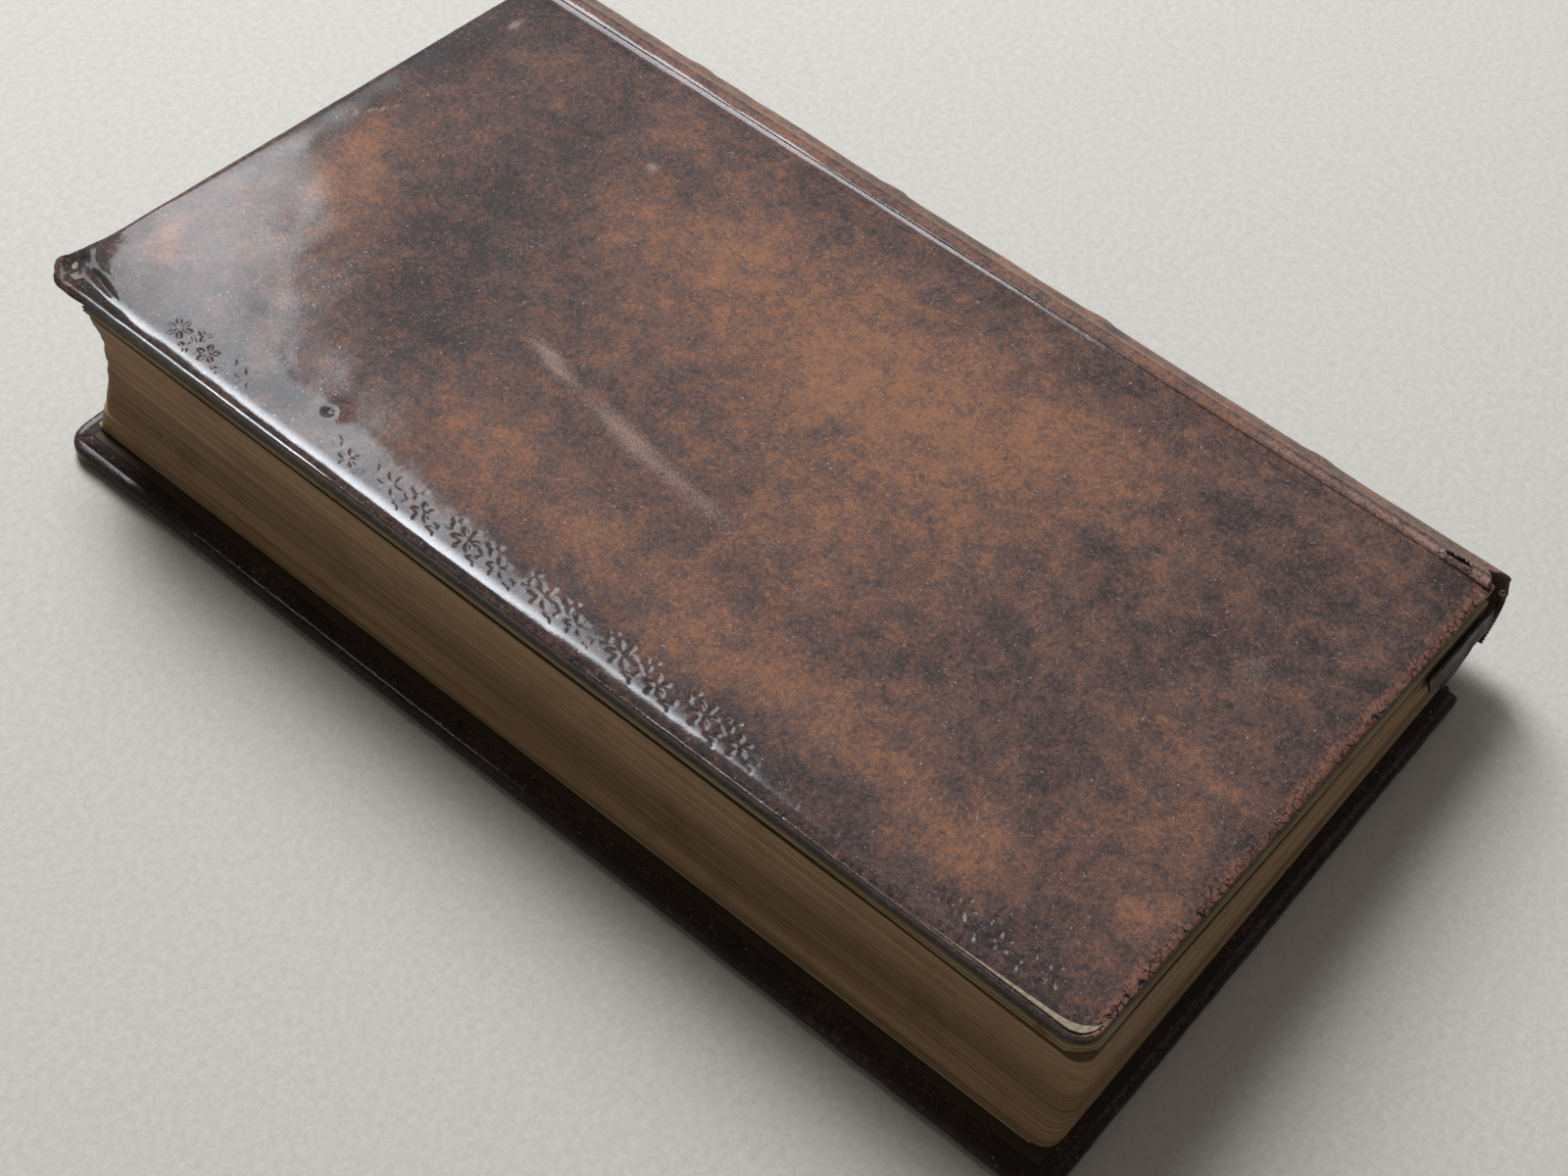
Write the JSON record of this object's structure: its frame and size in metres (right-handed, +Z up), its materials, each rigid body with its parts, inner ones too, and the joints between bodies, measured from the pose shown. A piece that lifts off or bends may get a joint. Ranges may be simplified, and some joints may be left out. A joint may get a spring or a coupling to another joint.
{
  "type": "antique leather book",
  "caption": "Old pocket book in full leather with a rounded spine, low raised bands and a torn head, whose two covers open on leather joints.",
  "frame": {"origin": "middle of the closed book's footprint, on the surface that it lies on", "axes": "+Z up through the front cover, +X from the spine to the fore-edge, +Y towards the head"},
  "size_m": [0.1033, 0.168, 0.0289],
  "materials": {
    "cover_leather": "polished mottled calf, worn at the edges",
    "spine_leather": "polished calf, torn at the head",
    "pages": "browned page edges",
    "endpaper": "aged laid paper",
    "board": "grey-brown paste board",
    "cord": "twisted hemp",
    "thread": "faded thread over a core"
  },
  "bodies": {
    "back_cover": {"back_leather": "cover_leather", "back_board": "board", "back_pastedown": "endpaper", "back_slip_1": "cord", "back_slip_2": "cord", "back_slip_3": "cord", "back_slip_4": "cord"},
    "pages": {"text_block": "pages", "front_flyleaves": "endpaper", "back_flyleaves": "endpaper", "spine_leather": "spine_leather", "headband": "thread", "tailband": "thread", "sewing_cord_1": "cord", "sewing_cord_2": "cord", "sewing_cord_3": "cord", "sewing_cord_4": "cord"},
    "front_cover": {"front_leather": "cover_leather", "front_board": "board", "front_pastedown": "endpaper", "front_slip_1": "cord", "front_slip_2": "cord", "front_slip_3": "cord", "front_slip_4": "cord"}
  },
  "joints": [
    {"name": "back_joint", "type": "hinge", "parent": "back_cover", "child": "pages", "pos_m": [-0.04085, 0, 0], "axis": [0, -1, 0], "range_deg": [0, 90]},
    {"name": "front_joint", "type": "hinge", "parent": "pages", "child": "front_cover", "pos_m": [-0.04635, 0, 0.0195], "axis": [0, -1, 0], "range_deg": [0, 170]}
  ]
}
